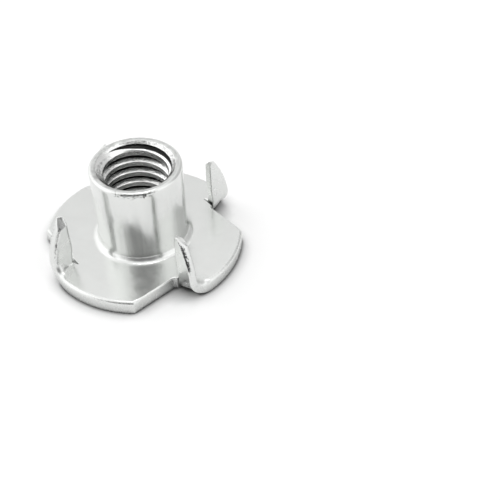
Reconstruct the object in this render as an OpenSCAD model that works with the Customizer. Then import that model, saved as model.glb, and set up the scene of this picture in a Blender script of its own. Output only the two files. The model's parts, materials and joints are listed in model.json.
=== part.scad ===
// Tee nut: a round sheet-metal flange, a drawn barrel with a tapped hole,
// and four prongs lanced from the rim and folded up beside the barrel.
// Millimetres. Z is the hole's axis; the flange's underside is at Z = 0.

/* [Flange] */
// Diameter of the round flange
flange_d = 22; // [20:0.5:26]
// Thickness of the sheet
sheet_t = 1.6; // [1.2:0.1:1.8]
// Width of the softened top edge round the rim and along the prongs
rim_chamfer = 0.3; // [0.1:0.05:0.4]

/* [Barrel] */
// Outside diameter of the barrel
barrel_d = 9.8; // [9.4:0.1:11]
// Height over all, from the flange's underside to the barrel's top
overall_h = 10.9; // [9:0.1:14]
// Radius of the fillet where the barrel leaves the flange
base_fillet_r = 0.8; // [0.3:0.1:1.2]
// Radius of the barrel's outer top edge
top_edge_r = 0.35; // [0.1:0.05:0.5]

/* [Tapped hole] */
// Diameter of the hole through the thread's crests
thread_minor_d = 6.64; // [6.4:0.02:6.9]
// Diameter of the bevelled mouth at the barrel's top
mouth_d = 8.6; // [8.2:0.1:9]
// Diameter of the smooth lead-in bored from below
lead_d = 8.3; // [8:0.1:8.6]
// Height at which the lead-in starts to close towards the thread
lead_h = 2.0; // [1.4:0.1:3]
// Radius of the rounded entry in the flange's underside
entry_r = 0.7; // [0.3:0.1:1]

/* [Prongs] */
// Number of prongs round the flange
prong_count = 4; // [3:1:4]
// Height of the prong tips above the flange's underside
prong_h = 7.7; // [6.7:0.2:7.9]
// Thickness of an upright prong as a share of the sheet's thickness
prong_share = 0.65; // [0.6:0.05:0.9]
// Inside radius of the fold
fold_r = 1.1; // [0.8:0.05:1.3]
// Distance of a prong's outside face from the radius along its hinge
prong_face = 1.55; // [1.35:0.05:1.75]
// Turn from the corner of a cut to the middle of its fold, degrees
fold_turn = 40; // [38:1:42]
// Angle between a cut and the radius through its corner, degrees
cut_angle = 47; // [45:1:50]
// Radius of the rounded inner end of a cut
cut_end_r = 0.4; // [0.2:0.05:0.5]
// Drop of the long bevel on a prong's inner side, below the tip
tip_bevel = 0.75; // [0.3:0.05:0.9]
// Drop of the small bevel on a prong's outer side, below the tip
tip_nick = 0.8; // [0.3:0.05:0.9]

/* [Hidden] */

$fn = 96;
flange_r = flange_d / 2;
barrel_r = barrel_d / 2;
minor_r = thread_minor_d / 2;
mouth_r = mouth_d / 2;
lead_r = lead_d / 2;
mouth_h = mouth_r - minor_r;               // the mouth's bevel is 45 degrees
lead_cone_h = (lead_r - minor_r) * 0.75;   // the lead-in closes a little steeper
prong_t = sheet_t * prong_share;
// A fold is drawn across its hinge: U runs towards the cut, V out along it.
fold_out_r = sheet_t + fold_r;             // outside radius of the fold
face_u = prong_face;                       // outside face of the upright prong
back_u = face_u - prong_t;                 // inside face of the upright prong
hinge_u = face_u - fold_out_r;             // where the underside turns up
crook_u = back_u - fold_r;                 // where the top turns up
edge_v = flange_r * cos(fold_turn);        // the prong's edge beside the barrel
fold_len = (fold_r + sheet_t / 2) * PI / 2; // length of the fold, mid-sheet
arc_z = fold_out_r - hinge_u - fold_len;   // centre height of the folded rim
nip = sheet_t / 32;                        // overlap that keeps edges from just meeting
fold_draw = nip;                           // how far folding draws the edge in
fold_v = sqrt(pow(flange_r, 2) - pow(fold_out_r - arc_z, 2)) - fold_draw;
soft_v = fold_v - rim_chamfer;             // where the fold's soft edge starts
corner_u = flange_r * sin(fold_turn);      // where the cut meets the rim
cut_lean = 90 - fold_turn - cut_angle;     // the cut against the prong's edge
end_u = face_u + cut_end_r;                // centre of the cut's rounded end
end_drop = cut_end_r * 0.975;              // the round end just breaks the cut's line
end_v = edge_v - (corner_u - end_u) * tan(cut_lean) + end_drop / cos(cut_lean);
past = flange_r / 5;                       // how far cutters run past what they cut
bevel_reach = flange_r / 3;                // half the width of a bevel's cutter

// Half section of flange, fillet and barrel, without the hole.
module body_section() {
  difference() {
    union() {
      polygon([[0, 0], [flange_r, 0], [flange_r, sheet_t - rim_chamfer],
        [flange_r - rim_chamfer, sheet_t], [0, sheet_t]]);
      square([barrel_r, overall_h - top_edge_r]);
      square([barrel_r - top_edge_r, overall_h]);
      translate([barrel_r - top_edge_r, overall_h - top_edge_r])
        circle(r = top_edge_r);
      square([barrel_r + base_fillet_r, sheet_t + base_fillet_r]);
    }
    translate([barrel_r + base_fillet_r, sheet_t + base_fillet_r])
      circle(r = base_fillet_r);
  }
}

// Half section of the hole: rounded entry, lead-in, cone, bore and mouth.
module hole_section() {
  difference() {
    polygon([[0, -past], [lead_r + entry_r, -past], [lead_r + entry_r, entry_r],
      [lead_r, entry_r], [lead_r, lead_h], [minor_r, lead_h + lead_cone_h],
      [minor_r, overall_h - mouth_h], [mouth_r, overall_h],
      [mouth_r, overall_h + past], [0, overall_h + past]]);
    translate([lead_r + entry_r, entry_r]) circle(r = entry_r);
  }
}

// Opening left in the flange by one cut and its folded prong, drawn in plan
// with X out along the hinge and the cut on the side of negative Y.
module notch_section() {
  polygon([[edge_v + past * tan(cut_lean), -corner_u - past],
    [flange_r + past, -corner_u - past], [flange_r + past, -hinge_u],
    [edge_v, -hinge_u], [edge_v, -end_u],
    [end_v - end_drop * cos(cut_lean), -end_u - end_drop * sin(cut_lean)]]);
  translate([end_v, -end_u]) circle(r = cut_end_r);
  translate([end_v, -end_u])
    square([max(edge_v - end_v, 0) + nip, end_drop]);
}

// The fold across its hinge: sheet on the left, turning up on the right and
// thinning to the prong's own thickness.
module fold_section() {
  difference() {
    intersection() {
      translate([hinge_u, fold_out_r]) circle(r = fold_out_r);
      translate([hinge_u, 0]) square([fold_out_r, fold_out_r]);
    }
    intersection() {
      translate([crook_u, fold_out_r]) circle(r = fold_r);
      translate([crook_u, sheet_t]) square([fold_r, fold_r]);
    }
    translate([hinge_u, sheet_t]) square([crook_u - hinge_u, fold_r]);
  }
}

// Turns a shape drawn across the hinge upright and runs it out along V.
module along_hinge(v, len) {
  translate([v, 0, 0]) rotate([90, 0, 90]) mirror([1, 0, 0])
    linear_extrude(height = len) children();
}

// The folded root of a prong with the soft edge carried round the fold.
module fold() {
  difference() {
    along_hinge(edge_v, fold_v - edge_v) fold_section();
    // straight part beside the flange
    translate([soft_v, -hinge_u, sheet_t]) rotate([90, 0, 0])
      linear_extrude(height = crook_u - hinge_u)
        polygon([[-past, past], [past, -past], [past, past]]);
    // round the inside of the fold
    translate([soft_v, -crook_u, fold_out_r]) rotate([0, 90, 0])
      rotate([0, 0, -90]) rotate_extrude(angle = 90)
        polygon([[0, -past], [fold_r, 0], [fold_r + past, past], [0, past]]);
  }
}

// The upright prong: a slice of a disc, because its outer edge is the rim.
module blade() {
  difference() {
    intersection() {
      translate([0, -face_u, arc_z]) rotate([-90, 0, 0]) rotate_extrude()
        polygon([[0, 0], [flange_r, 0], [flange_r, prong_t - rim_chamfer],
          [flange_r - rim_chamfer, prong_t], [0, prong_t]]);
      translate([edge_v, -face_u, fold_out_r])
        cube([flange_r, prong_t, prong_h - fold_out_r]);
    }
    // long bevel across the inner side of the tip
    translate([edge_v, -back_u, prong_h - tip_bevel]) rotate([0, 56, 65])
      translate([-bevel_reach, -bevel_reach, 0]) cube(2 * bevel_reach);
    // small bevel on the outer side of the tip
    translate([edge_v, -face_u, prong_h - tip_nick]) rotate([0, 73, 226])
      translate([-bevel_reach, -bevel_reach, 0]) cube(2 * bevel_reach);
  }
}

module tee_nut() {
  color("silver") union() {
    difference() {
      rotate_extrude() body_section();
      rotate_extrude() hole_section();
      for (i = [0 : prong_count - 1])
        rotate([0, 0, i * 360 / prong_count + fold_turn])
          translate([0, 0, -past]) linear_extrude(height = sheet_t + 2 * past)
            notch_section();
    }
    for (i = [0 : prong_count - 1])
      rotate([0, 0, i * 360 / prong_count + fold_turn]) {
        fold();
        blade();
      }
  }
}

tee_nut();
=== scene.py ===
"""Tee nut with four folded prongs, zinc plated, standing on a white studio floor.

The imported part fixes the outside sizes. The surface made here follows them and adds
what the solid leaves out: the screw thread, the rolled edges of the sheet and the
crack beside each fold. Lengths are in millimetres until a mesh is made from them.
"""

import json
import logging
import math
from dataclasses import dataclass, replace
from enum import Enum

import bmesh
import bpy
import numpy as np
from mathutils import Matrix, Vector

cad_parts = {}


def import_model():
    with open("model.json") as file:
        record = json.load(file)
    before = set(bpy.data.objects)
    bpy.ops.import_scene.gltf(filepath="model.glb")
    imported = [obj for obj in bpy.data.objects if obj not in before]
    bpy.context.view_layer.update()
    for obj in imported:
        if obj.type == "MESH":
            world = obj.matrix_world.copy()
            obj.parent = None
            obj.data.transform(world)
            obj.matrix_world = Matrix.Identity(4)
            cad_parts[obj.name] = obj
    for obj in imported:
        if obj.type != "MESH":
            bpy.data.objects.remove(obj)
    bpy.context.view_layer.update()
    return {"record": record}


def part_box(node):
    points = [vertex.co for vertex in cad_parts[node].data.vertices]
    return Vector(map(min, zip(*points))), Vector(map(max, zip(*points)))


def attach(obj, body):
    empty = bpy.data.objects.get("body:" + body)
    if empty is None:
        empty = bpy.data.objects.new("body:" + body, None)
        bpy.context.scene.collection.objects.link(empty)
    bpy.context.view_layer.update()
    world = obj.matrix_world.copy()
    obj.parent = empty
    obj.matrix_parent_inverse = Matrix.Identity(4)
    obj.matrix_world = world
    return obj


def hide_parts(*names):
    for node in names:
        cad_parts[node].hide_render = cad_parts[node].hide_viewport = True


log = logging.getLogger("tee_nut")

MM = 0.001
INCH = 25.4
TURN = 2 * math.pi
QUARTER = math.pi / 2
WELD = 2e-4  # points closer than this are one
FLAT = 2e-3  # an open edge closer than this to a flat opening belongs to it
NODE = "tee_nut"
BODY = "root"
# point attribute: how much real soil and painted shade darken the colour
SOIL_AND_SHADE = "soil_and_shade"
MIX_SHARE, MIX_FIRST, MIX_SECOND = 0, 6, 7  # inputs of a node that mixes colours
MIX_RESULT = 2  # and its output

Pair = tuple[float, float]
Triple = tuple[float, float, float]
Four = tuple[float, float, float, float]
Socket = bpy.types.NodeSocket
Source = Socket | float | tuple[float, ...]


class Zone(Enum):
    """Regions of the nut that carry a finish of their own."""

    SHEET = 0
    SHEARED = 1
    BARREL = 2
    MOUTH = 3
    TAPPED = 4
    PRONG = 5


# Small helpers --------------------------------------------------------------


def polar(radius: float | np.ndarray, angle: float | np.ndarray) -> np.ndarray:
    """Returns the points at radii and angles round the origin, as rows of two."""
    return np.stack([radius * np.cos(angle), radius * np.sin(angle)], axis=-1)


def arc_points(middle: Pair, radius: float, turn: Pair, steps: int) -> np.ndarray:
    """Returns the points on an arc round a middle, from one angle to another."""
    return np.array(middle) + polar(radius, np.linspace(*turn, steps + 1))


def soft_min(first: np.ndarray, second: np.ndarray, radius: float) -> np.ndarray:
    """Returns the smaller of two fields, with the corner between them rounded."""
    mix = np.clip(0.5 + 0.5 * (second - first) / radius, 0, 1)
    return second + (first - second) * mix - radius * mix * (1 - mix)


def soft_max(first: np.ndarray, second: np.ndarray, radius: float) -> np.ndarray:
    """Returns the larger of two fields, with the corner between them rounded."""
    return -soft_min(-first, -second, radius)


def ease(x: np.ndarray) -> np.ndarray:
    """Returns a smooth step from 0 to 1 for x from 0 to 1."""
    x = np.clip(x, 0, 1)
    return x * x * (3 - 2 * x)


def plateau(x: np.ndarray, ends: Four) -> np.ndarray:
    """Returns 1 between the two inner ends, easing to 0 at the outer two."""
    start, full, fading, end = ends
    return ease((x - start) / (full - start)) * ease((end - x) / (end - fading))


def sines(angles_deg: Pair) -> Pair:
    """Returns the sines of two angles."""
    first, second = (math.sin(math.radians(angle)) for angle in angles_deg)
    return first, second


def tilted(tilt_deg: float, turn_deg: float) -> np.ndarray:
    """Returns the direction that is tilted from straight up and turned from x."""
    tilt, turn = math.radians(tilt_deg), math.radians(turn_deg)
    return np.array([*polar(math.sin(tilt), turn), math.cos(tilt)])


def put_up(name: str, data: bpy.types.ID) -> bpy.types.Object:
    """Makes an object and puts it into the scene.

    Args:
        name: the object's name.
        data: its mesh, light or camera.

    Returns:
        The new object.
    """
    made = bpy.data.objects.new(name, data)
    bpy.context.scene.collection.objects.link(made)
    return made


# Sizes ----------------------------------------------------------------------


@dataclass(frozen=True)
class NutSizes:
    """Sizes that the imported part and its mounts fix."""

    flange_r: float
    overall_h: float
    sheet_t: float
    barrel_r: float
    fillet_r: float
    top_edge_r: float
    crest_r: float

    @classmethod
    def from_frame(cls, record: dict) -> "NutSizes":
        """Reads the sizes.

        Args:
            record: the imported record.

        Returns:
            The sizes in millimetres.
        """
        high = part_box(NODE)[1]
        mounts = {mount["name"]: mount for mount in record["mounts"]}
        barrel = mounts["barrel"]
        middle = barrel["pos_m"][2] / MM
        half = barrel["dims"]["length_mm"] / 2
        sheet_t = mounts["seat"]["pos_m"][2] / MM
        overall_h = high.z / MM
        return cls(
            flange_r=high.x / MM,
            overall_h=overall_h,
            sheet_t=sheet_t,
            barrel_r=barrel["dims"]["r_mm"],
            fillet_r=middle - half - sheet_t,
            top_edge_r=overall_h - middle - half,
            crest_r=mounts["thread"]["dims"]["r_mm"],
        )


@dataclass(frozen=True)
class HoleSizes:
    """The hole's own sizes: entry, lead-in, thread and mouth, and where shade is painted in it.

    lead_slope is the height over which the lead-in closes by 1. run_in_slope is how
    much the crests open in each 1 of run_in_h, the height below the top where the tap
    went in. start_deg turns the thread round its axis. shade_from holds how deep in the
    groove the painted shade starts, in the first turn and in the rest, shade_over is the
    depth in which it becomes full and shade_lip the same at the groove's ends; this shade
    is painted into the grooves where real shade falls. mouth_shade is the painted shade
    where the mouth is cut deeper than the thread. galled_drop holds how far below the top
    the galled ring starts, is full, fades and ends, galled_deg its middle and half its
    reach round the axis.
    """

    entry_r: float = 0.7
    lead_r: float = 4.15
    lead_h: float = 2.0
    lead_slope: float = 0.75
    mouth_r: float = 4.25
    mouth_soft: float = 0.1
    run_in_h: float = 1.45
    run_in_slope: float = 0.2
    pitch: float = INCH / 18
    root_r: float = INCH * 5 / 32
    root_flat: float = pitch / 8
    flank_deg: float = 30.0
    start_deg: float = 61.0
    crest_round: float = 0.05
    root_round: float = 0.06
    # painted shade in the thread's grooves and at the mouth, standing in for the shade that falls
    # there
    shade_from: Pair = (0.15, 0.33)
    shade_over: float = 0.25
    shade_lip: float = 0.04
    mouth_shade: float = 0.4
    galled: float = 0.42
    galled_drop: Four = (0.02, 0.07, 0.4, 0.5)
    galled_deg: Pair = (-84.0, 32.0)


@dataclass(frozen=True)
class Mark:
    """A dark line on an edge of the prong.

    along and up hold where it starts, is full, fades and ends, as shares of the
    prong's length and of the sheet's thickness.
    """

    along: Four
    up: Four

    def soil_and_shade(self, along: np.ndarray, up: np.ndarray) -> np.ndarray:
        """Returns how much the mark darkens the edge at shares along the prong and up the sheet.
        """
        return plateau(along, self.along)[:, None] * plateau(up, self.up)


@dataclass(frozen=True)
class FoldSizes:
    """How a prong is cut from the rim and folded up.

    turn_deg is the angle of the first prong's hinge to x, cut_deg that of its cut,
    the other way. Sizes that end in u lie across the hinge: hinge_edge_u is where it
    starts beside the barrel, hinge_turns the shares across the prong between which it
    moves to where it ends at the rim. thinning is the share of the sheet's thickness
    that is left, waist how far the edge beside the barrel gives way, up to waist_end
    of its length. drawn_out is the length of rim in each 1 of prong, bulge_lost how
    far the rim edge draws in within the fold, and tip_left the share of the last
    section that is left on top. bevel_deg and nick_deg are the tilt and the turn of
    the two small faces at the tip. torn is the torn strip on the rim edge and
    torn_share how strong it is on each prong. painted_inner_line is a dark line painted
    along the rounded top of the edge beside the barrel, painted_rim_line a fainter one
    painted along the rim edge beside the inner face, with painted_rim_line_share its
    strength; both are painted shade standing in for the dark reflection along those
    rounded edges.
    """

    count: int = 4
    turn_deg: float = 40.0
    cut_deg: float = 47.0
    inside_r: float = 1.1
    least_inside_r: float = 0.12
    hinge_edge_u: float = 0.1
    hinge_turns: Pair = (0.1, 0.8)
    thinning: float = 0.65
    face_u: float = 1.55
    cut_end_r: float = 0.4
    corner_r: float = 0.4
    heel_r: float = 0.2
    crack: float = 0.02
    waist: float = 0.2
    waist_end: float = 0.5
    tip_h: float = 7.7
    tip_round: float = 0.1
    tip_left: float = 0.35
    drawn_out: float = 0.94
    bevel_drop: float = 0.72
    bevel_deg: Pair = (46.0, 70.0)
    bevel_soft: float = 0.07
    nick_drop: float = 0.8
    nick_deg: Pair = (73.0, 226.0)
    nick_soft: float = 0.04
    bulge_lost: float = 0.1
    torn: Mark = Mark((0.42, 0.66, 0.8, 1.12), (0.0, 0.08, 0.15, 0.75))
    torn_share: Four = (0.8, 0.5, 0.3, 0.85)
    # painted dark lines along the prong's rounded edges, standing in for the dark reflection there
    painted_inner_line: Mark = Mark((0.0, 0.1, 0.75, 0.85), (0.8, 0.88, 0.92, 0.95))
    painted_rim_line: Mark = Mark((0.2, 0.7, 0.89, 0.95), (0.86, 0.92, 0.96, 0.99))
    painted_rim_line_share: float = 0.48


@dataclass(frozen=True)
class EdgeSizes:
    """Radii of the sheet's edges: rolled on top, nearly sharp below.

    support and support_share set the flat margin beside a radius. cut_fade is the
    length over which a radius settles along a cut, opens_over and rim_opens_over the
    same from the hinge. tip_share is how much of a narrow tip the upper and the lower
    radius may take up.
    """

    rim: float = 0.35
    cut: float = 0.16
    crack: float = 0.08
    prong: float = 0.3
    prong_rim: float = 0.6
    below: float = 0.12
    below_crack: float = 0.06
    support: float = 0.05
    support_share: float = 0.15
    land_support: float = 0.04
    cut_fade: float = 0.9
    opens_over: float = 1.2
    rim_opens_over: float = 1.0
    tip_share: Pair = (0.46, 0.23)


@dataclass(frozen=True)
class Detail:
    """How finely the surfaces are divided: in numbers of steps, or steps of a length."""

    round_steps: int = 192
    thread_step: float = 0.043
    fillet_steps: int = 12
    wall_rows: int = 19
    crown_steps: int = 8
    mouth_steps: int = 4
    entry_steps: int = 10
    lead_rows: int = 6
    top_steps: int = 7
    wall_steps: int = 6
    below_steps: int = 3
    run_step: float = 0.2
    line_least: int = 4
    arc_least: int = 8
    crack_steps: int = 8
    fold_rows: int = 34
    blade_rows: int = 62
    end_rows: int = 4
    face_columns: int = 12


# The surface as a whole -----------------------------------------------------


class Shell:
    """Faces of one closed surface, gathered in millimetres and welded at the end."""

    def __init__(self) -> None:
        """Starts with no faces."""
        self.points: list[np.ndarray] = []
        self.soil_and_shade: list[np.ndarray] = []
        self.faces: list[tuple[int, ...]] = []
        self.zones: list[int] = []
        self.count = 0

    def add_points(self, points: np.ndarray, soil_and_shade: np.ndarray | float = 0.0) -> int:
        """Adds points.

        Args:
            points: the points, in any shape that ends in 3.
            soil_and_shade: how much each of them is darkened by soil and painted shade, from 0 to
                1.

        Returns:
            The number of the first.
        """
        first = self.count
        self.points.append(points.reshape(-1, 3))
        self.soil_and_shade.append((soil_and_shade + 0 * points[..., 0]).ravel())
        self.count += len(self.points[-1])
        return first

    def add_grid(self, grid: np.ndarray, zone: Zone, loop: bool = False,
                 soil_and_shade: np.ndarray | float = 0.0) -> None:
        """Joins neighbouring points of a grid with four-sided faces.

        Args:
            grid: points, shaped rows by columns by 3.
            zone: the finish of the faces.
            loop: joins the last column to the first.
            soil_and_shade: how much each point is darkened by soil and painted shade, from 0 to 1.
        """
        rows, columns = grid.shape[:2]
        first = self.add_points(grid, soil_and_shade)
        steps = columns if loop else columns - 1
        for row in range(rows - 1):
            near = first + row * columns
            far = near + columns
            for column in range(steps):
                following = (column + 1) % columns
                self.faces.append((near + column, near + following, far + following, far + column))
        self.zones += [zone.value] * (steps * (rows - 1))

    def add_cap(self, ring: np.ndarray, zone: Zone) -> None:
        """Closes a ring of points with a fan round its middle.

        Args:
            ring: the points.
            zone: the finish of the faces.
        """
        count = len(ring)
        first = self.add_points(np.vstack([ring, ring.mean(axis=0)]))
        self.faces += [(first + i, first + (i + 1) % count, first + count) for i in range(count)]
        self.zones += [zone.value] * count

    @staticmethod
    def fill(work: bmesh.types.BMesh, level: float) -> None:
        """Fills the openings that lie flat at a height.

        Args:
            work: the welded faces, in metres.
            level: the height in millimetres.
        """
        ring = [
            edge for edge in work.edges
            if len(edge.link_faces) == 1
            and all(abs(vert.co.z - level * MM) < FLAT * MM for vert in edge.verts)
        ]
        made = bmesh.ops.triangle_fill(work, edges=ring, use_beauty=True)
        for item in made["geom"]:
            if isinstance(item, bmesh.types.BMFace):
                item.material_index = Zone.SHEET.value

    def build(self, name: str, levels: tuple[float, ...]) -> bpy.types.Object:
        """Welds the faces, fills the flat openings and makes an object.

        Args:
            name: the object's name.
            levels: the heights of the flat openings.

        Returns:
            The new object, in metres.
        """
        mesh = bpy.data.meshes.new(name)
        mesh.from_pydata((np.vstack(self.points) * MM).tolist(), [], self.faces)
        mesh.polygons.foreach_set("material_index", self.zones)
        # the attribute holds real soil and painted shade
        soiled_and_shaded = mesh.attributes.new(SOIL_AND_SHADE, "FLOAT", "POINT")
        soiled_and_shaded.data.foreach_set("value", np.concatenate(self.soil_and_shade))
        work = bmesh.new()
        work.from_mesh(mesh)
        bmesh.ops.remove_doubles(work, verts=work.verts, dist=WELD * MM)
        for level in levels:
            self.fill(work, level)
        bmesh.ops.recalc_face_normals(work, faces=work.faces)
        open_edges = sum(1 for edge in work.edges if len(edge.link_faces) != 2)
        for face in work.faces:
            face.smooth = True
        work.to_mesh(mesh)
        work.free()
        log.info("%s: %d faces, %d open edges", name, len(mesh.polygons), open_edges)
        return put_up(name, mesh)


# The sheet: blank, edges and folded prongs ----------------------------------


@dataclass(frozen=True)
class Run:
    """A stretch of the blank's outline.

    place holds points in plan, out the outward directions, top and below the radii
    of the upper and the lower edge at each point.
    """

    place: np.ndarray
    out: np.ndarray
    top: np.ndarray
    below: np.ndarray

    @staticmethod
    def joined(runs: list["Run"]) -> "Run":
        """Joins runs that meet end to end.

        Args:
            runs: the runs, each of them starting where the one before ends.

        Returns:
            One run, with shared ends kept once.
        """
        def chain(name: str) -> np.ndarray:
            """Returns one field of all the runs."""
            parts = [getattr(run, name) for run in runs]
            return np.concatenate([part[:-1] for part in parts[:-1]] + [parts[-1]])

        return Run(chain("place"), chain("out"), chain("top"), chain("below"))

    def columns(self, sheet_t: float, edges: EdgeSizes, detail: Detail) -> np.ndarray:
        """Draws the sheet's edge through its thickness at each point.

        Args:
            sheet_t: the sheet's thickness.
            edges: the edge radii, for the width of the flat margin.
            detail: how finely each part is divided.

        Returns:
            Points shaped run by column by 3, from the top face to the bottom face.
        """
        top, below = self.top[:, None], self.below[:, None]
        round_top = np.linspace(0, QUARTER, detail.top_steps + 1)[None]
        round_low = np.linspace(0, QUARTER, detail.below_steps + 1)[None]
        down = np.linspace(0, 1, detail.wall_steps + 1)[None, 1:-1]
        margin = np.minimum(edges.support, edges.support_share * top)
        wall_top, wall_low = sheet_t - top, below
        inset = np.hstack([
            top + margin,
            top * (1 - np.sin(round_top)),
            0 * top * down,
            below * (1 - np.cos(round_low)),
            below + margin,
        ])
        height = np.hstack([
            0 * top + sheet_t,
            sheet_t - top * (1 - np.cos(round_top)),
            wall_top + (wall_low - wall_top) * down,
            below * (1 - np.sin(round_low)),
            0 * below,
        ])
        plan = self.place[:, None] - inset[..., None] * self.out[:, None]
        return np.concatenate([plan, height[..., None]], axis=-1)


@dataclass
class Prong:
    """One prong: where its blank is cut and how the blank folds up.

    In plan, v runs out along the hinge and y across it, with the prong on the side
    of negative y. Its distance across the hinge is u = -y. A point of the prong is
    named by its share along it, from the hinge to the tip, and by its share across
    it, from the edge beside the barrel to the rim. The fold is tight beside the
    barrel and opens out towards the rim.
    """

    nut: NutSizes
    fold: FoldSizes

    def __post_init__(self) -> None:
        """Works out the derived sizes."""
        nut, fold = self.nut, self.fold
        self.thick = nut.sheet_t * fold.thinning
        self.face_u = fold.face_u
        self.back_u = self.face_u - self.thick
        self.hinge_rim_u = self.face_u - nut.sheet_t - fold.inside_r
        self.edge_v = nut.flange_r * math.cos(math.radians(fold.turn_deg))
        self.corner_u = nut.flange_r * math.sin(math.radians(fold.turn_deg))
        self.lean = math.radians(90 - fold.turn_deg - fold.cut_deg)

    def hinge_u(self, across: np.ndarray) -> np.ndarray:
        """Finds where the fold begins.

        Args:
            across: shares across the prong.

        Returns:
            The distance across the hinge for each share.
        """
        start, end = self.fold.hinge_turns
        turned = ease((across - start) / (end - start))
        return self.fold.hinge_edge_u + (self.hinge_rim_u - self.fold.hinge_edge_u) * turned

    def radii(self, across: np.ndarray) -> tuple[np.ndarray, np.ndarray]:
        """Finds how tight the fold is.

        Args:
            across: shares across the prong.

        Returns:
            The fold's outer and inner radius for each share.
        """
        outside = self.face_u - self.hinge_u(across)
        inside = np.maximum(outside - self.nut.sheet_t, self.fold.least_inside_r)
        return outside, inside

    def fold_length(self, across: np.ndarray) -> np.ndarray:
        """Returns the length of sheet in the fold for shares across the prong."""
        return (self.radii(across)[1] + self.nut.sheet_t / 2) * QUARTER

    def length(self, across: np.ndarray) -> np.ndarray:
        """Returns the length of sheet from the hinge to the tip for those shares."""
        tip = self.fold.tip_h - self.fold.tip_round - self.radii(across)[0]
        return self.fold_length(across) + tip

    def rim_v(self, along: np.ndarray) -> np.ndarray:
        """Finds how far out the prong's rim edge lies.

        Args:
            along: shares along the prong.

        Returns:
            The distance out along the hinge for each share.
        """
        rim = np.ones_like(along)
        far = along * self.length(rim)
        bent = np.clip(far / self.fold_length(rim), 0, 1)
        lost = self.fold.bulge_lost * np.sin(math.pi * bent) ** 2
        u = self.hinge_rim_u + far * self.fold.drawn_out
        return np.sqrt(self.nut.flange_r ** 2 - u ** 2) - lost

    def edge_at(self, along: np.ndarray) -> np.ndarray:
        """Returns how far out the edge beside the barrel lies for shares along it."""
        waist = np.sin(math.pi * np.clip(along / self.fold.waist_end, 0, 1)) ** 2
        return self.edge_v + self.fold.crack + self.fold.waist * waist

    def thickness(self, v: np.ndarray, z: np.ndarray) -> np.ndarray:
        """Thins the upright prong by the bevel on its inner side.

        Args:
            v: distances out along the hinge.
            z: heights.

        Returns:
            The prong's thickness at each.
        """
        normal_v, normal_y, normal_z = tilted(*self.fold.bevel_deg)
        rise = z - (self.fold.tip_h - self.fold.bevel_drop)
        cut = (normal_v * (v - self.edge_v) + normal_z * rise) / normal_y
        return soft_min(np.full_like(v, self.thick), self.thick - cut, self.fold.bevel_soft)

    def nicked(self, points: np.ndarray) -> np.ndarray:
        """Makes the small bevel on the prong's outer side.

        Args:
            points: points of the folded prong.

        Returns:
            The points, with those past the bevel moved back onto it.
        """
        normal = tilted(*self.fold.nick_deg)
        corner = np.array([self.edge_v, -self.face_u, self.fold.tip_h - self.fold.nick_drop])
        over = soft_max((points - corner) @ normal, np.zeros(points.shape[:-1]),
                        self.fold.nick_soft)
        return points - over[..., None] * normal

    def folded(self, v: np.ndarray, along: np.ndarray, across: np.ndarray,
               z: np.ndarray) -> np.ndarray:
        """Folds points of the flat prong up.

        Args:
            v: the points' distances out along the hinge.
            along: their shares along the prong.
            across: their shares across the prong.
            z: their heights in the flat sheet.

        Returns:
            The same points on the folded prong.
        """
        sheet_t = self.nut.sheet_t
        hinge = self.hinge_u(across)
        outside, inside = self.radii(across)
        bent = self.fold_length(across)
        far = along * self.length(across)
        share = np.clip(far / bent, 0, 1)
        turn = share * QUARTER
        outer_u = hinge + outside * np.sin(turn)
        outer_z = outside * (1 - np.cos(turn))
        flat = self.back_u - inside - hinge
        path = share * (flat + inside * QUARTER)
        bend = np.clip((path - flat) / inside, 0, QUARTER)
        inner_u = hinge + np.minimum(path, flat) + inside * np.sin(bend)
        lift = outside - sheet_t - inside
        inner_z = sheet_t + inside * (1 - np.cos(bend)) + np.maximum(lift, 0) * share
        rise = np.maximum(far - bent, 0)
        ahead = np.minimum(lift, 0) / (self.length(across) - bent)
        outer_z = outer_z + rise
        inner_z = inner_z + rise * (1 + ahead)
        inner_u = np.where(rise > 0, self.face_u - self.thickness(v, outer_z), inner_u)
        depth = z / sheet_t
        u = outer_u + (inner_u - outer_u) * depth
        height = outer_z + (inner_z - outer_z) * depth
        return self.nicked(np.stack([v, -u, height], axis=-1))


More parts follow.
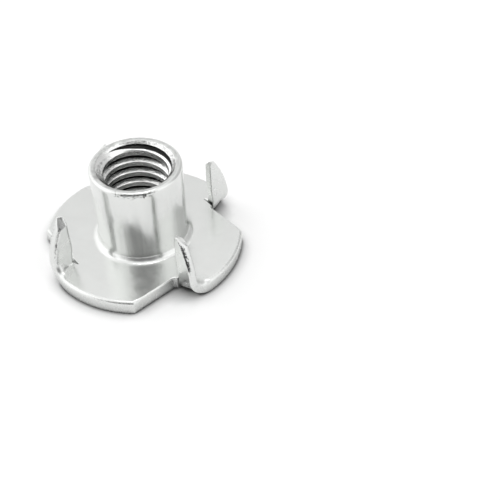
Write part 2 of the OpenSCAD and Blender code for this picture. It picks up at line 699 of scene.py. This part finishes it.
@dataclass
class Flange:
    """The flange with its cut corners and folded prongs."""

    nut: NutSizes
    fold: FoldSizes
    edges: EdgeSizes
    detail: Detail

    def __post_init__(self) -> None:
        """Makes the prong that is repeated round the flange."""
        self.prong = Prong(self.nut, self.fold)

    def steps(self, length: float, least: int) -> int:
        """Returns how many steps a stretch of that length takes."""
        return max(least, math.ceil(length / self.detail.run_step))

    def arc(self, middle: np.ndarray, radius: float, turn: Pair, top: Pair, below: Pair,
            hollow: bool = False) -> Run:
        """Draws a round stretch of the outline.

        Args:
            middle: the centre in plan.
            radius: the radius.
            turn: the first and the last angle, in radians.
            top: radius of the upper edge at the start and at the end.
            below: the same for the lower edge.
            hollow: True where the sheet lies outside the arc.

        Returns:
            The run.
        """
        start, end = turn
        count = self.steps(abs(end - start) * radius, self.detail.arc_least) + 1
        out = polar(1, np.linspace(start, end, count))
        return Run(
            middle + radius * out,
            -out if hollow else out,
            np.linspace(*top, count),
            np.linspace(*below, count),
        )

    def line(self, start: np.ndarray, end: np.ndarray, out: np.ndarray,
             top: Pair, below: Pair) -> Run:
        """Draws a straight stretch, along which the edge radii settle.

        Args:
            start: the first point in plan.
            end: the last point.
            out: the outward direction.
            top: radius of the upper edge at the start and once settled.
            below: the same for the lower edge.

        Returns:
            The run.
        """
        length = float(np.linalg.norm(end - start))
        share = np.linspace(0, 1, self.steps(length, self.detail.line_least) + 1)
        settled = ease(share * length / self.edges.cut_fade)
        return Run(
            start + (end - start) * share[:, None],
            np.tile(out, (len(share), 1)),
            top[0] + (top[1] - top[0]) * settled,
            below[0] + (below[1] - below[0]) * settled,
        )

    def knuckle(self) -> tuple[np.ndarray, float]:
        """Finds the rounded corner where the rim meets the cut.

        Returns:
            The corner's centre in plan and the angle at which it lies.
        """
        prong, corner_r = self.prong, self.fold.corner_r
        along = polar(1, QUARTER + prong.lean)
        base = np.array([prong.edge_v, -prong.corner_u]) - corner_r * polar(1, prong.lean)
        reach = self.nut.flange_r - corner_r
        lead = -base @ along
        half_chord = math.sqrt(lead ** 2 - base @ base + reach ** 2)
        centre = base + min(lead + half_chord, lead - half_chord, key=abs) * along
        return centre, math.atan2(centre[1], centre[0])

    def cut(self) -> list[Run]:
        """Draws the cut from the rim to its round inner end.

        Returns:
            The corner, the straight side, the hollow end and the heel, where the
            crack beside the fold begins.
        """
        prong, fold, edges = self.prong, self.fold, self.edges
        centre, angle = self.knuckle()
        out = polar(1, prong.lean)
        soft = (edges.below, edges.below)
        corner = self.arc(centre, fold.corner_r, (angle, prong.lean), (edges.rim, edges.rim), soft)
        end_u = prong.face_u + fold.cut_end_r
        end_v = (prong.edge_v - (prong.corner_u - end_u) * math.tan(prong.lean)
                 + fold.cut_end_r / math.cos(prong.lean))
        end = np.array([end_v, -end_u])
        side = self.line(corner.place[-1], end - fold.cut_end_r * out, out,
                         (edges.rim, edges.cut), soft)
        heel_v = prong.edge_v - fold.crack - fold.heel_r
        rise = math.sqrt((fold.cut_end_r + fold.heel_r) ** 2 - (end_v - heel_v) ** 2)
        meet = math.atan2(rise, heel_v - end_v)
        hollow = self.arc(end, fold.cut_end_r, (math.pi + prong.lean, meet),
                          (edges.cut, edges.cut), soft, hollow=True)
        heel = self.arc(np.array([heel_v, rise - end_u]), fold.heel_r, (meet - math.pi, 0),
                        (edges.cut, edges.crack), (edges.below, edges.below_crack))
        return [corner, side, hollow, heel]

    def crack(self, start: np.ndarray) -> list[Run]:
        """Draws the crack between the flat sheet and the fold.

        Args:
            start: where it begins in plan.

        Returns:
            Its straight side and its round end.
        """
        fold = self.fold
        top, below = self.edges.crack, self.edges.below_crack
        root = np.array([self.prong.edge_v, -fold.hinge_edge_u])
        side = self.line(start, root - [fold.crack, 0], np.array([1.0, 0]),
                         (top, top), (below, below))
        void = polar(1, np.linspace(0, -math.pi, self.detail.crack_steps + 1))
        end = Run(root - fold.crack * void, void,
                  np.full(len(void), top), np.full(len(void), below))
        return [side, end]

    def rim(self) -> Run:
        """Draws the rim from the hinge to the next cut.

        Returns:
            The run. It leaves the hinge in the hinge's own direction.
        """
        edges = self.edges
        start = math.asin(-self.prong.hinge_rim_u / self.nut.flange_r)
        end = self.knuckle()[1] + TURN / self.fold.count
        rim = self.arc(np.zeros(2), self.nut.flange_r, (start, end),
                       (edges.rim, edges.rim), (edges.below, edges.below))
        along_hinge = np.array([1 / math.cos(start), 0.0])
        far = np.arange(len(rim.out)) * self.detail.run_step
        turned = ease(far / edges.opens_over)[:, None]
        return replace(rim, out=along_hinge + (rim.out - along_hinge) * turned)

    def prong_rows(self) -> np.ndarray:
        """Spaces the sections of the prong.

        Returns:
            The shares along the prong at which its section is drawn.
        """
        rim = np.ones(1)
        bent = float((self.prong.fold_length(rim) / self.prong.length(rim))[0])
        fold = np.linspace(0, bent, self.detail.fold_rows)
        blade = np.linspace(bent, 1, self.detail.blade_rows)
        return np.concatenate([fold[:-1], blade])

    def prong_edges(self, along: np.ndarray) -> tuple[Run, Run]:
        """Draws the two edges along the prong, from the hinge to the tip.

        Args:
            along: the shares along the prong.

        Returns:
            The edge beside the barrel and the edge along the rim. Their points hold
            the distance out along the hinge and the share along the prong.
        """
        prong, edges = self.prong, self.edges
        inner_v, outer_v = prong.edge_at(along), prong.rim_v(along)
        most_top, most_below = (share * (outer_v - inner_v) for share in edges.tip_share)
        far = along * prong.length(np.ones_like(along))
        open_up = ease(far / edges.opens_over)
        rim_open = ease(far / edges.rim_opens_over)
        inner = Run(
            np.stack([inner_v, along], axis=-1),
            np.tile([-1.0, 0.0], (len(along), 1)),
            np.minimum(edges.crack + (edges.prong - edges.crack) * open_up, most_top),
            np.minimum(edges.below_crack + (edges.below - edges.below_crack) * open_up,
                       most_below),
        )
        slope = np.gradient(outer_v, far)
        slope[0] = -prong.hinge_rim_u / outer_v[0]
        outer = Run(
            np.stack([outer_v, along], axis=-1),
            np.stack([np.hypot(1, slope), 0 * along], axis=-1),
            np.minimum(edges.rim + (edges.prong_rim - edges.rim) * rim_open, most_top),
            np.minimum(edges.below, most_below),
        )
        return inner, outer

    def rounded(self, body: np.ndarray) -> np.ndarray:
        """Rounds the prong's end.

        Args:
            body: the prong's sections from the hinge to the tip.

        Returns:
            The same sections with those of the rounded end after them.
        """
        fold, last = self.fold, body[-1]
        middle = last.mean(axis=0)
        ends = []
        for angle in np.linspace(0, QUARTER, self.detail.end_rows + 1)[1:]:
            left = fold.tip_left + (1 - fold.tip_left) * math.cos(angle)
            ring = middle + (last - middle) * left
            ring[:, 2] = last[:, 2] + fold.tip_round * math.sin(angle)
            ends.append(ring)
        return np.concatenate([body, np.array(ends)])

    def prong_surface(self) -> tuple[np.ndarray, np.ndarray, np.ndarray]:
        """Draws the folded prong as closed sections from the hinge to the tip.

        Returns:
            Points shaped rows by columns by 3, how soiled each of them is where
            the metal tore, and how dark the painted shade lines along its edges make each of them.
        """
        prong, fold, along = self.prong, self.fold, self.prong_rows()
        inner, outer = (
            run.columns(self.nut.sheet_t, self.edges, self.detail)
            for run in self.prong_edges(along)
        )
        share = np.linspace(0, 1, self.detail.face_columns + 2)[None, 1:-1, None]
        under = inner[:, -1:] + (outer[:, -1:] - inner[:, -1:]) * share
        over = outer[:, :1] + (inner[:, :1] - outer[:, :1]) * share
        outer = outer[:, ::-1]
        v, along_all, z = np.moveaxis(np.concatenate([inner, under, outer, over], axis=1), -1, 0)
        edge_v, rim_v = prong.edge_at(along)[:, None], prong.rim_v(along)[:, None]
        across = np.clip((v - edge_v) / (rim_v - edge_v), 0, 1)
        body = self.rounded(prong.folded(v, along_all, across, z))

        def spread(on_inner: np.ndarray, on_outer: np.ndarray) -> np.ndarray:
            """Returns the soil and painted shade at every point, from that on the two edges."""
            soil_and_shade = np.hstack([on_inner, 0 * under[..., 2], on_outer, 0 * over[..., 2]])
            return np.pad(soil_and_shade, ((0, self.detail.end_rows), (0, 0)))

        inner_up, outer_up = (edge[0, :, 2] / self.nut.sheet_t for edge in (inner, outer))
        torn = spread(0 * inner[..., 2], fold.torn.soil_and_shade(along, outer_up))
        # painted shade: dark lines along the rounded edges, standing in for the dark reflection
        # there
        painted_edge_lines = spread(fold.painted_inner_line.soil_and_shade(along, inner_up),
                          fold.painted_rim_line_share * fold.painted_rim_line.soil_and_shade(along, outer_up))
        return body, torn, painted_edge_lines

    def placed(self, points: np.ndarray, sector: int) -> np.ndarray:
        """Turns a sector's points to their place round the axis.

        Args:
            points: the points as drawn, with the hinge along x.
            sector: the sector's number.

        Returns:
            The points in their place.
        """
        angle = math.radians(self.fold.turn_deg) + sector * TURN / self.fold.count
        x, y, z = np.moveaxis(points, -1, 0)
        return np.stack([
            x * math.cos(angle) - y * math.sin(angle),
            x * math.sin(angle) + y * math.cos(angle),
            z,
        ], axis=-1)

    def build(self, shell: Shell) -> None:
        """Adds the rim, the cuts and the prongs.

        Args:
            shell: the surface that they are added to.
        """
        cut = self.cut()
        outline = (Run.joined(cut + self.crack(cut[-1].place[-1])), self.rim())
        strips = [run.columns(self.nut.sheet_t, self.edges, self.detail) for run in outline]
        sections, torn, painted_edge_lines = self.prong_surface()
        for sector, torn_share in enumerate(self.fold.torn_share):
            for strip in strips:
                shell.add_grid(self.placed(strip, sector), Zone.SHEARED)
            prong = self.placed(sections, sector)
            # real torn strip plus the painted dark edge lines
            soil_and_shade = torn * torn_share + painted_edge_lines
            shell.add_grid(prong, Zone.PRONG, loop=True, soil_and_shade=soil_and_shade)
            shell.add_cap(prong[-1], Zone.PRONG)


# The drawn barrel and its tapped hole ---------------------------------------


@dataclass
class Barrel:
    """The drawn barrel: base fillet, wall, rounded top, mouth, thread and lead-in."""

    nut: NutSizes
    hole: HoleSizes
    edges: EdgeSizes
    detail: Detail

    def __post_init__(self) -> None:
        """Spaces the angles at which the profiles are drawn."""
        self.angles = np.linspace(0, TURN, self.detail.round_steps, endpoint=False)

    def revolved(self, radius: np.ndarray, height: np.ndarray) -> np.ndarray:
        """Returns the points, rows by angles by 3, that a profile takes round the axis."""
        plan = polar(radius, self.angles)
        return np.dstack([plan, height + 0 * plan[..., 0]])

    def outside(self) -> np.ndarray:
        """Draws the profile from the flange's top face to the top of the barrel.

        Returns:
            Rows of radius and height.
        """
        nut, detail = self.nut, self.detail
        foot = nut.barrel_r + nut.fillet_r
        seat = nut.sheet_t + nut.fillet_r
        neck = nut.overall_h - nut.top_edge_r
        wall = np.linspace((nut.barrel_r, seat), (nut.barrel_r, neck), detail.wall_rows + 1)
        return np.vstack([
            [[foot + self.edges.support, nut.sheet_t]],
            arc_points((foot, seat), nut.fillet_r, (-QUARTER, -math.pi), detail.fillet_steps),
            wall[1:-1],
            arc_points((nut.barrel_r - nut.top_edge_r, neck), nut.top_edge_r, (0, QUARTER),
                       detail.crown_steps),
        ])

    def top(self) -> np.ndarray:
        """Draws the profile of the flat top and the softened start of the mouth.

        Returns:
            Rows of radius and height.
        """
        nut, hole = self.nut, self.hole
        land = nut.barrel_r - nut.top_edge_r
        bevel = QUARTER / 2
        radius = hole.mouth_soft / math.tan(bevel / 2)
        middle = (hole.mouth_r + hole.mouth_soft, nut.overall_h - radius)
        return np.vstack([
            [[land, nut.overall_h], [land - self.edges.land_support, nut.overall_h]],
            arc_points(middle, radius, (QUARTER, QUARTER + bevel), self.detail.mouth_steps),
        ])

    def entry(self) -> np.ndarray:
        """Draws the profile of the rounded entry and the lead-in, from below.

        Returns:
            Rows of radius and height.
        """
        hole, detail = self.hole, self.detail
        rim = hole.lead_r + hole.entry_r
        lead = np.linspace((hole.lead_r, hole.entry_r), (hole.lead_r, hole.lead_h),
                           detail.lead_rows + 1)
        return np.vstack([
            [[rim + self.edges.support, 0.0]],
            arc_points((rim, hole.entry_r), hole.entry_r, (-QUARTER, -math.pi),
                       detail.entry_steps),
            lead[1:],
        ])

    def thread(self, height: np.ndarray) -> np.ndarray:
        """Finds the thread's radius at all angles.

        Args:
            height: heights, shaped rows by 1.

        Returns:
            Radii, shaped rows by angles.
        """
        hole = self.hole
        turns = height / hole.pitch - (self.angles + math.radians(hole.start_deg)) / TURN
        away = np.abs(turns - np.round(turns)) * hole.pitch
        slope = 1 / math.tan(math.radians(hole.flank_deg))
        groove = hole.root_r - (away - hole.root_flat / 2) * slope
        groove = soft_min(groove, np.full_like(groove, hole.root_r), hole.root_round)
        run_in = np.maximum(height - (self.nut.overall_h - hole.run_in_h), 0)
        crest = self.nut.crest_r + run_in * hole.run_in_slope + 0 * groove
        return soft_max(groove, crest, hole.crest_round)

    def tapped(self) -> tuple[np.ndarray, np.ndarray]:
        """Draws the tapped wall from the lead-in to the mouth.

        Returns:
            Points shaped rows by angles by 3, and how dark the painted shade in the grooves and at
            the mouth makes each of them.
        """
        nut, hole = self.nut, self.hole
        mouth_edge_r, mouth_edge_h = self.top()[-1]
        rows = math.ceil((mouth_edge_h - hole.lead_h) / self.detail.thread_step)
        height = np.linspace(hole.lead_h, mouth_edge_h, rows + 1)[:, None]
        lead = hole.lead_r - (height - hole.lead_h) / hole.lead_slope
        mouth = hole.mouth_r - (nut.overall_h - height)
        bare = np.maximum(lead, mouth)
        thread = self.thread(height)
        wall = soft_max(bare, thread, hole.crest_round)
        wall[0], wall[-1] = hole.lead_r, mouth_edge_r
        # Painted shade: the grooves darken towards their roots, the first turn more widely, and
        # the mouth darkens where it is cut below the thread.
        depth = (wall - nut.crest_r) * ease((thread - bare) / hole.shade_lip)
        dimmed = hole.mouth_shade * ease((mouth - thread) / hole.shade_over)
        first, rest = hole.shade_from
        half_turn = hole.pitch / 2
        below = ease((nut.overall_h - height - half_turn) / half_turn)
        soil_and_shade = ease((depth - first - (rest - first) * below) / hole.shade_over)
        return self.revolved(wall, height), np.maximum(soil_and_shade, dimmed)

    def galled(self, wall: np.ndarray) -> np.ndarray:
        """Soils the barrel's rounded top on the side that the tool galled.

        Args:
            wall: the outside's points, shaped rows by angles by 3.

        Returns:
            How soiled each of them is.
        """
        hole = self.hole
        depth = plateau(self.nut.overall_h - wall[..., 2], hole.galled_drop)
        middle, half = (math.radians(angle) for angle in hole.galled_deg)
        turn = np.abs((self.angles - middle + math.pi) % TURN - math.pi)
        return hole.galled * depth * ease((half - turn) / (half / 2))

    def build(self, shell: Shell) -> None:
        """Adds the barrel and the hole.

        Args:
            shell: the surface that they are added to.
        """
        wall, top, entry = (
            self.revolved(*np.hsplit(profile, 2))
            for profile in (self.outside(), self.top(), self.entry())
        )
        tapped, soil_and_shade = self.tapped()
        shell.add_grid(wall, Zone.BARREL, loop=True, soil_and_shade=self.galled(wall))
        shell.add_grid(top, Zone.MOUTH, loop=True)
        shell.add_grid(tapped, Zone.TAPPED, loop=True, soil_and_shade=soil_and_shade)
        shell.add_grid(entry, Zone.BARREL, loop=True)


# Node trees -----------------------------------------------------------------


class Wiring:
    """A node tree that is wired up one node at a time."""

    def __init__(self, tree: bpy.types.NodeTree) -> None:
        """Keeps the tree."""
        self.tree = tree

    def feed(self, source: Source, target: Socket) -> None:
        """Joins a socket to an input, or sets the input to a constant.

        Args:
            source: the socket or the constant.
            target: the input.
        """
        if isinstance(source, Socket):
            self.tree.links.new(source, target)
        else:
            target.default_value = source

    def add(self, kind: str, inputs: dict[str | int, Source] | None = None,
            **settings: str | int) -> bpy.types.Node:
        """Adds a node.

        Args:
            kind: the node's type, less the words that all of them start with.
            inputs: what each input gets, by its name or number.
            settings: the node's own settings.

        Returns:
            The node.
        """
        node = self.tree.nodes.new("ShaderNode" + kind)
        for name, value in settings.items():
            setattr(node, name, value)
        for place, source in (inputs or {}).items():
            self.feed(source, node.inputs[place])
        return node

    def maths(self, operation: str, *terms: Source) -> Socket:
        """Returns the result of an operation on numbers."""
        return self.add("Math", dict(enumerate(terms)), operation=operation).outputs["Value"]

    def vector(self, operation: str, *terms: Source) -> bpy.types.Node:
        """Returns a node with an operation on vectors."""
        return self.add("VectorMath", dict(enumerate(terms)), operation=operation)

    def ramp(self, source: Socket, span: Pair, results: Pair,
             easing: str = "SMOOTHSTEP") -> Socket:
        """Maps a span of values to other values.

        Args:
            source: the socket with the values.
            span: the values at which the first and the last result are reached.
            results: the first and the last result.
            easing: how the results run between the two.

        Returns:
            The socket with the results.
        """
        node = self.add("MapRange", {
            "Value": source,
            "From Min": span[0],
            "From Max": span[1],
            "To Min": results[0],
            "To Max": results[1],
        }, interpolation_type=easing)
        return node.outputs["Result"]

    def noise(self, place: Socket, size_mm: float, layers: float,
              grain: Triple = (1.0, 1.0, 1.0)) -> Socket:
        """Adds noise.

        Args:
            place: the places at which it is wanted, in metres.
            size_mm: the size of its features.
            layers: how many finer layers it has.
            grain: how much closer the features lie along each axis.

        Returns:
            The socket with the noise, from 0 to 1.
        """
        finer = tuple(axis / MM for axis in grain)
        scale = self.add("Mapping", {"Vector": place, "Scale": finer})
        texture = self.add("TexNoise", {
            "Vector": scale.outputs["Vector"],
            "Scale": 1 / size_mm,
            "Detail": layers,
        })
        return texture.outputs["Fac"]


def blank_material(name: str) -> tuple[bpy.types.Material, bpy.types.Node, Wiring]:
    """Makes a material to be filled in.

    Args:
        name: the material's name.

    Returns:
        The material, its shader and its wiring.
    """
    material = bpy.data.materials.new(name)
    material.use_nodes = True
    tree = material.node_tree
    return material, tree.nodes["Principled BSDF"], Wiring(tree)


# Finishes -------------------------------------------------------------------


@dataclass(frozen=True)
class ZincFinish:
    """Bright zinc plate: tone, gloss and the fine relief of the surface.

    tones holds the shares of the colour between which it is mottled, rough the
    roughness between which the gloss changes, and gloss_finer how much finer than the
    mottle that change is. grain stretches gloss and relief: a value under 1 along an
    axis draws them out that way. soiled_and_shaded is the share of the tone that is left
    where the surface is fully darkened, by real soil on the barrel's galled ring and the
    prongs' torn strips and by painted shade in the thread's grooves and along the prongs'
    edges; soil_and_shade_mm is the size of the spots and ragged how unevenly the
    darkening ends. The spans hold the values between which gloss and darkening change,
    and the layers how fine the noise behind each look is.
    """

    name: str
    colour: Triple = (0.74, 0.75, 0.737)
    tones: Pair = (0.94, 1.04)
    rough: Pair = (0.22, 0.34)
    mottle_mm: float = 2.5
    relief_mm: float = 0.35
    relief: float = 0.05
    grain: Triple = (1.0, 1.0, 1.0)
    soiled_and_shaded: float | None = None
    soil_and_shade_mm: float = 0.35
    ragged: float = 0.2
    gloss_finer: float = 3.0
    gloss_span: Pair = (0.3, 0.7)
    soil_and_shade_span: Pair = (0.25, 0.75)
    tone_layers: float = 4.0
    gloss_layers: float = 5.0
    relief_layers: float = 6.0
    soil_and_shade_layers: float = 6.0

    def tone(self, wires: Wiring, place: Socket) -> Socket:
        """Mottles the colour.

        Args:
            wires: the material's wiring.
            place: the places on the nut.

        Returns:
            The socket with the colour.
        """
        dull, bright = (
            (*(min(1, part * share) for part in self.colour), 1) for share in self.tones
        )
        mottle = wires.noise(place, self.mottle_mm, self.tone_layers)
        mixed = {MIX_SHARE: mottle, MIX_FIRST: dull, MIX_SECOND: bright}
        return wires.add("Mix", mixed, data_type="RGBA").outputs[MIX_RESULT]

    def dimmed(self, tone: Socket, wires: Wiring, place: Socket) -> Socket:
        """Darkens the colour where the surface is soiled and where shade is painted on it.

        Args:
            tone: the socket with the colour.
            wires: the material's wiring.
            place: the places on the nut.

        Returns:
            The socket with the darker colour.
        """
        # darkens by the attribute: real soil on the torn and galled marks, painted shade in the
        # grooves and along the prong edges
        amount = wires.add("Attribute", attribute_name=SOIL_AND_SHADE).outputs["Fac"]
        spots = wires.noise(place, self.soil_and_shade_mm, self.soil_and_shade_layers)
        uneven = wires.maths("MULTIPLY_ADD", spots, self.ragged, amount)
        start, end = (limit + self.ragged / 2 for limit in self.soil_and_shade_span)
        left = wires.ramp(uneven, (start, end), (1, self.soiled_and_shaded))
        darker = wires.add("VectorMath", {0: tone, "Scale": left}, operation="SCALE")
        return darker.outputs["Vector"]

    def material(self) -> bpy.types.Material:
        """Makes the material.

        Returns:
            The finish as a material.
        """
        material, shader, wires = blank_material(self.name)
        place = wires.add("TexCoord").outputs["Object"]
        colour = self.tone(wires, place)
        if self.soiled_and_shaded is not None:
            colour = self.dimmed(colour, wires, place)
        gloss = wires.noise(place, self.mottle_mm / self.gloss_finer, self.gloss_layers,
                            self.grain)
        bump = wires.add("Bump", {
            "Strength": 1.0,
            "Distance": self.relief * self.relief_mm * MM,
            "Height": wires.noise(place, self.relief_mm, self.relief_layers, self.grain),
        })
        shader.inputs["Metallic"].default_value = 1.0
        wires.feed(colour, shader.inputs["Base Color"])
        wires.feed(wires.ramp(gloss, self.gloss_span, self.rough, "LINEAR"),
                   shader.inputs["Roughness"])
        wires.feed(bump.outputs["Normal"], shader.inputs["Normal"])
        return material


FINISHES = {
    Zone.SHEET: ZincFinish("zinc_satin", rough=(0.18, 0.26), relief_mm=0.8, relief=0.012),
    # on the prongs the darkened tone covers the real torn strip and the painted dark edge lines
    Zone.PRONG: ZincFinish("zinc_prong", rough=(0.24, 0.36), relief_mm=0.4, relief=0.03,
                           soiled_and_shaded=0.05, soil_and_shade_mm=0.12, ragged=2.0),
    Zone.SHEARED: ZincFinish("zinc_edge", rough=(0.2, 0.34), relief=0.06, grain=(1, 1, 0.4)),
    Zone.BARREL: ZincFinish("zinc_drawn", rough=(0.14, 0.26), relief_mm=0.9, relief=0.045,
                            grain=(1, 1, 0.1), soiled_and_shaded=0.12, soil_and_shade_mm=0.2, ragged=2.0),
    Zone.MOUTH: ZincFinish("zinc_mouth", tones=(0.3, 1.25), rough=(0.25, 0.5), mottle_mm=0.9,
                           relief_mm=0.25, relief=0.3),
    # the thread's lighter colour is painted light standing in for the light reaching down into the
    # bore; its darkened tone is the painted shade in the grooves
    Zone.TAPPED: ZincFinish("zinc_thread", colour=(0.88, 0.885, 0.875), rough=(0.15, 0.25),
                            relief=0.08, grain=(1, 1, 3), soiled_and_shaded=0.02, ragged=0.6),
}


@dataclass
class TeeNut:
    """The whole nut as one piece of zinc-plated steel."""

    nut: NutSizes
    fold: FoldSizes = FoldSizes()
    hole: HoleSizes = HoleSizes()
    edges: EdgeSizes = EdgeSizes()
    detail: Detail = Detail()

    def build(self) -> bpy.types.Object:
        """Builds, dresses and seats the nut.

        Returns:
            The piece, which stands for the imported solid.
        """
        shell = Shell()
        Flange(self.nut, self.fold, self.edges, self.detail).build(shell)
        Barrel(self.nut, self.hole, self.edges, self.detail).build(shell)
        piece = shell.build("tee_nut_zinc", (0.0, self.nut.sheet_t))
        for zone in Zone:
            piece.data.materials.append(FINISHES[zone].material())
        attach(piece, BODY)
        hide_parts(NODE)
        return piece


# Studio ---------------------------------------------------------------------


@dataclass(frozen=True)
class Lamp:
    """A soft rectangular lamp aimed at the nut.

    azimuth_deg is 0 behind the nut and grows towards the right, reach is its
    distance in millimetres and level the light that it adds on the floor, where
    1 turns a white floor white.
    """

    name: str
    azimuth_deg: float
    elevation_deg: float
    reach: float
    size: Pair
    level: float

    def watts(self) -> float:
        """Returns the power that gives the level on the floor."""
        sphere = 4 * math.pi * (self.reach * MM) ** 2
        return self.level * sphere / math.sin(math.radians(self.elevation_deg))

    def build(self, aim: Triple) -> None:
        """Hangs the lamp.

        Args:
            aim: the point that it is aimed at, in millimetres.
        """
        data = bpy.data.lights.new(self.name, "AREA")
        data.shape = "RECTANGLE"
        data.size, data.size_y = (side * MM for side in self.size)
        data.energy = self.watts()
        back = Vector(tilted(90 - self.elevation_deg, 90 - self.azimuth_deg))
        light = put_up(self.name, data)
        light.location = (Vector(aim) + back * self.reach) * MM
        light.rotation_euler = (-back).to_track_quat("-Z", "Y").to_euler()


@dataclass(frozen=True)
class Band:
    """A part of the room's wall that is lighter or darker than the rest.

    azimuth_deg is its middle, half_deg its reach to either side and top_deg the
    elevations between which it fades out.
    """

    azimuth_deg: float
    half_deg: float
    gain: float
    top_deg: Pair = (50.0, 64.0)

    def added(self, light: Socket, heading: Socket, height: Socket, wires: Wiring) -> Socket:
        """Adds the band to the room's light.

        Args:
            light: the light without it.
            heading: the level direction of a place on the wall.
            height: the sine of that place's elevation.
            wires: the room's wiring.

        Returns:
            The light with it.
        """
        middle = tilted(90, 90 - self.azimuth_deg)
        turn = wires.vector("DOT_PRODUCT", heading, tuple(middle)).outputs["Value"]
        lit = wires.ramp(turn, (math.cos(math.radians(self.half_deg)), 1), (0, self.gain))
        share = wires.ramp(height, sines(self.top_deg), (1, 0))
        return wires.maths("MULTIPLY_ADD", lit, share, light)


@dataclass(frozen=True)
class Room:
    """A room with lighter and darker bands on its walls, under a plain ceiling.

    ceiling_deg holds the elevations between which the wall turns into the ceiling.
    """

    wall_level: float = 0.92
    ceiling_level: float = 1.12
    ceiling_deg: Pair = (42.0, 50.0)
    bands: tuple[Band, ...] = (
        Band(-88, 72, 0.5),
        Band(-180, 60, -0.66, top_deg=(52, 67)),
        Band(112, 40, 0.36),
        Band(52, 40, -0.26),
    )

    def build(self) -> None:
        """Paints the room on the world."""
        world = bpy.data.worlds.new("room")
        bpy.context.scene.world = world
        world.use_nodes = True
        wires = Wiring(world.node_tree)
        place = wires.add("TexCoord").outputs["Generated"]
        level_ray = wires.vector("MULTIPLY", place, (1, 1, 0)).outputs["Vector"]
        heading = wires.vector("NORMALIZE", level_ray).outputs["Vector"]
        height = wires.add("SeparateXYZ", {"Vector": place}).outputs["Z"]
        light = wires.ramp(height, sines(self.ceiling_deg), (self.wall_level, self.ceiling_level))
        for band in self.bands:
            light = band.added(light, heading, height, wires)
        background = world.node_tree.nodes["Background"]
        background.inputs["Color"].default_value = (1, 1, 1, 1)
        wires.feed(light, background.inputs["Strength"])


@dataclass(frozen=True)
class PaintedShadow:
    """A shadow painted on the floor close beside the nut.

    reach is how far it goes in millimetres, open_sky the shares of open sky between
    which it fades out, tone what is left of the floor's tone where it is darkest, and
    rays how many ways the open sky is looked for.
    """

    reach: float
    open_sky: Pair
    tone: float
    rays: int = 8

    def darkened(self, tone: Source, wires: Wiring) -> Socket:
        """Paints the shadow on the floor near the nut, darker where less sky is open.

        Args:
            tone: the floor's tone without it.
            wires: the material's wiring.

        Returns:
            The floor's tone with it.
        """
        sky = wires.add("AmbientOcclusion", {"Distance": self.reach * MM}, samples=self.rays)
        left = wires.ramp(sky.outputs["AO"], self.open_sky, (self.tone, 1), "LINEAR")
        return wires.maths("MULTIPLY", tone, left)


@dataclass(frozen=True)
class Floor:
    """A matt white floor, with a shadow painted on it where it meets the nut."""

    radius: float = 900.0
    sides: int = 96
    tone: float = 0.98
    rough: float = 0.9
    shine: float = 0.1
    # painted contact shadows: the floor's colour darkens where little sky is open above it
    painted_shadows: tuple[PaintedShadow, ...] = (
        PaintedShadow(reach=2.6, open_sky=(0.25, 0.88), tone=0.3),
        PaintedShadow(reach=0.5, open_sky=(0.4, 0.9), tone=0.3),
    )

    def material(self) -> bpy.types.Material:
        """Makes the floor's material.

        Returns:
            The material.
        """
        material, shader, wires = blank_material("floor_white")
        shader.inputs["Roughness"].default_value = self.rough
        shader.inputs["Specular IOR Level"].default_value = self.shine
        tone: Source = self.tone
        # paints the contact shadows into the floor's colour
        for painted_shadow in self.painted_shadows:
            tone = painted_shadow.darkened(tone, wires)
        wires.feed(tone, shader.inputs["Base Color"])
        return material

    def build(self) -> bpy.types.Object:
        """Lays the floor.

        Returns:
            The floor, which is no part of the nut.
        """
        mesh = bpy.data.meshes.new("floor")
        work = bmesh.new()
        bmesh.ops.create_circle(work, cap_ends=True, segments=self.sides, radius=self.radius * MM)
        work.to_mesh(mesh)
        work.free()
        mesh.materials.append(self.material())
        floor = put_up("floor", mesh)
        return floor


@dataclass(frozen=True)
class Studio:
    """Floor, room, lamps and camera."""

    floor: Floor = Floor()
    room: Room = Room()
    lamps: tuple[Lamp, ...] = (Lamp("overhead", 0, 85, 400, (110, 110), 0.08),)
    aim: Triple = (0.0, 0.0, 4.0)
    camera_place: Triple = (11.8897, -62.5536, 60.021)
    camera_down_deg: float = 44.5543
    lens: float = 54.936
    sensor: float = 36.0

    def camera(self) -> None:
        """Sets the camera."""
        data = bpy.data.cameras.new("camera")
        data.lens = self.lens
        data.sensor_width = self.sensor
        data.clip_start = MM
        camera = put_up("camera", data)
        camera.location = Vector(self.camera_place) * MM
        camera.rotation_euler = (math.radians(90 - self.camera_down_deg), 0, 0)
        bpy.context.scene.camera = camera

    def build(self) -> None:
        """Sets up the whole studio."""
        self.camera()
        self.floor.build()
        self.room.build()
        for lamp in self.lamps:
            lamp.build(self.aim)
        bpy.context.scene.view_settings.view_transform = "Standard"


def main() -> None:
    """Builds the nut and the studio."""
    logging.basicConfig(level=logging.INFO, format="%(name)s: %(message)s")
    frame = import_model()
    piece = TeeNut(NutSizes.from_frame(frame["record"])).build()
    log.info("piece %s rides on %s", piece.name, BODY)
    Studio().build()


if __name__ == "__main__":
    main()
